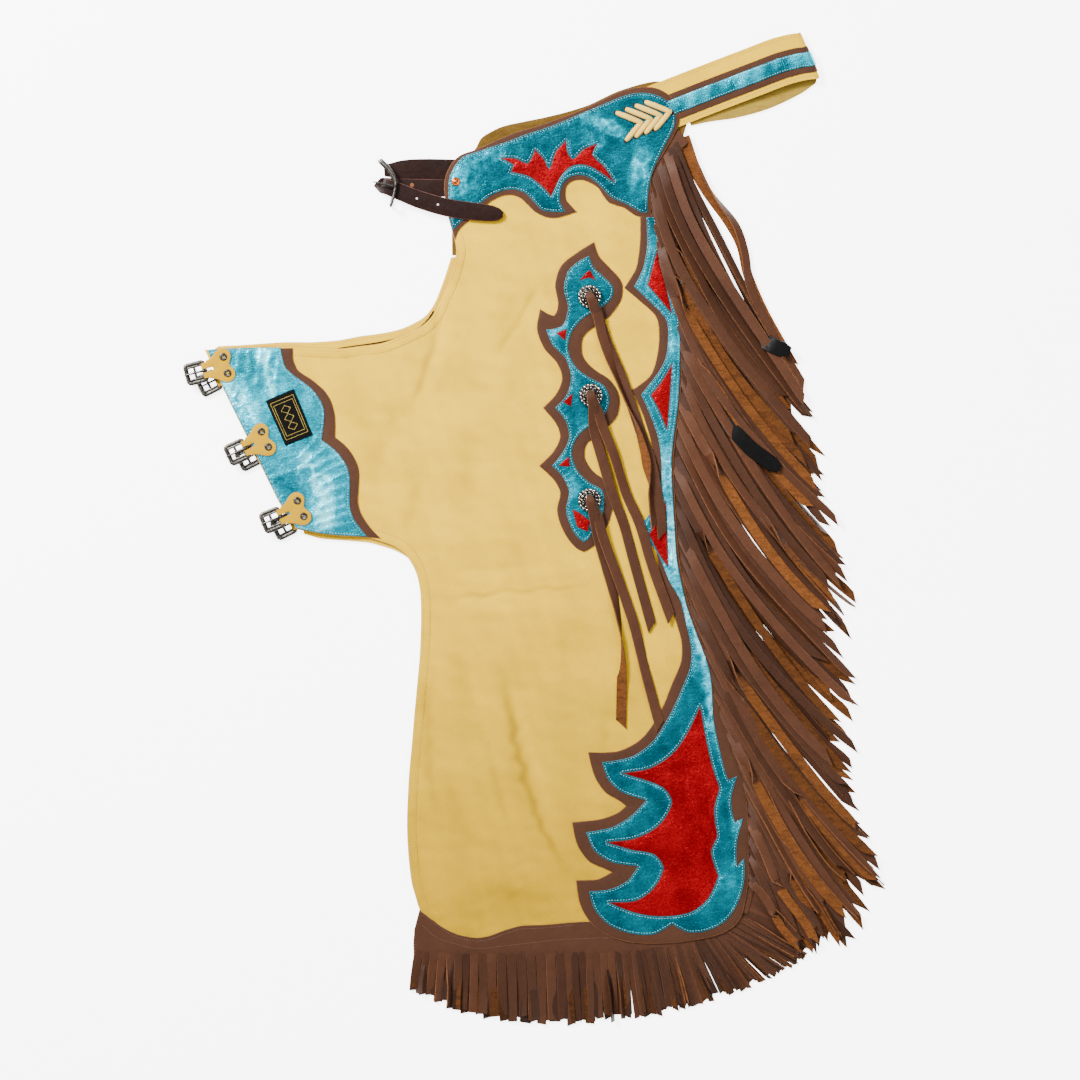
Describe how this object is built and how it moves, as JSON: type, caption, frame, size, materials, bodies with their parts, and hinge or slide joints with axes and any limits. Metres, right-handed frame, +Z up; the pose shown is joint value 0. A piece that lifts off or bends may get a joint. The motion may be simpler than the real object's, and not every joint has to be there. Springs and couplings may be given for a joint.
{
  "type": "leather chaps",
  "caption": "Fringed western leather chaps folded in half and laid flat, with a buckled back wing, foil flame overlays, concho ties and a folded belt.",
  "frame": {"origin": "centre of the bounding box's base, on the surface that the folded chaps lie on", "axes": "+Z up from the surface, +Y from the hem towards the belt, +X towards the fringed outer edge"},
  "size_m": [0.7652, 1.0901, 0.0168],
  "materials": {
    "tan_leather": "smooth grain, tan",
    "brown_leather": "smooth grain on one side and rust suede on the other, brown",
    "suede": "flesh side, golden olive",
    "teal_foil": "metallic foil finish, teal",
    "red_foil": "metallic foil finish, red",
    "strap_leather": "polished, dark burgundy",
    "lace_leather": "cream tan lace",
    "black_leather": "black",
    "nickel": "antiqued nickel plate",
    "copper": "copper"
  },
  "bodies": {
    "chaps": {"back_belt": "tan_leather", "band_diamond_1": "red_foil", "band_diamond_2": "red_foil", "band_diamond_3": "red_foil", "belt_inlay": "teal_foil", "belt_stripe": "brown_leather", "concho_1": "nickel", "concho_2": "nickel", "concho_3": "nickel", "flame_core": "red_foil", "front_billet": "strap_leather", "front_buckle": "nickel", "front_prong": "nickel", "front_rivet": "copper", "front_strap": "strap_leather", "label": "black_leather", "lacing_1": "lace_leather", "lacing_2": "lace_leather", "lacing_3": "lace_leather", "lacing_4": "lace_leather", "left_band": "teal_foil", "left_band_border": "brown_leather", "left_hem_fringe": "brown_leather", "left_leg": "tan_leather", "left_side_fringe": "brown_leather", "left_tab_1": "tan_leather", "left_tab_2": "tan_leather", "left_tab_3": "tan_leather", "left_yoke": "teal_foil", "left_yoke_border": "brown_leather", "left_yoke_flame": "red_foil", "patch": "teal_foil", "patch_border": "brown_leather", "right_buckle_1": "nickel", "right_buckle_2": "nickel", "right_buckle_3": "nickel", "right_hem_fringe": "brown_leather", "right_leg": "tan_leather", "right_prong_1": "nickel", "right_prong_2": "nickel", "right_prong_3": "nickel", "right_side_fringe": "brown_leather", "right_tab_1": "tan_leather", "right_tab_2": "tan_leather", "right_tab_3": "tan_leather", "right_yoke": "suede", "thigh_strap_1": "black_leather", "thigh_strap_2": "black_leather", "tie_1": "brown_leather", "tie_2": "brown_leather", "tie_3": "brown_leather", "wing_border": "brown_leather", "wing_patch": "teal_foil"},
    "buckle_1": {"left_buckle_1": "nickel"},
    "prong_1": {"left_prong_1": "nickel"},
    "buckle_2": {"left_buckle_2": "nickel"},
    "prong_2": {"left_prong_2": "nickel"},
    "buckle_3": {"left_buckle_3": "nickel"},
    "prong_3": {"left_prong_3": "nickel"}
  },
  "joints": [
    {"name": "left_buckle_1_swing", "type": "hinge", "parent": "chaps", "child": "buckle_1", "pos_m": [-0.36012, 0.17265, 0.0096], "axis": [-0.255, 0.9669, 0], "range_deg": [0, 85]},
    {"name": "left_prong_1_swing", "type": "hinge", "parent": "buckle_1", "child": "prong_1", "pos_m": [-0.36012, 0.17265, 0.0096], "axis": [-0.255, 0.9669, 0], "range_deg": [0, 55]},
    {"name": "left_buckle_2_swing", "type": "hinge", "parent": "chaps", "child": "buckle_2", "pos_m": [-0.31548, 0.08736, 0.0096], "axis": [-0.4182, 0.9084, 0], "range_deg": [0, 85]},
    {"name": "left_prong_2_swing", "type": "hinge", "parent": "buckle_2", "child": "prong_2", "pos_m": [-0.31548, 0.08736, 0.0096], "axis": [-0.4182, 0.9084, 0], "range_deg": [0, 55]},
    {"name": "left_buckle_3_swing", "type": "hinge", "parent": "chaps", "child": "buckle_3", "pos_m": [-0.27677, 0.01225, 0.0096], "axis": [-0.38, 0.925, 0], "range_deg": [0, 85]},
    {"name": "left_prong_3_swing", "type": "hinge", "parent": "buckle_3", "child": "prong_3", "pos_m": [-0.27677, 0.01225, 0.0096], "axis": [-0.38, 0.925, 0], "range_deg": [0, 55]}
  ]
}
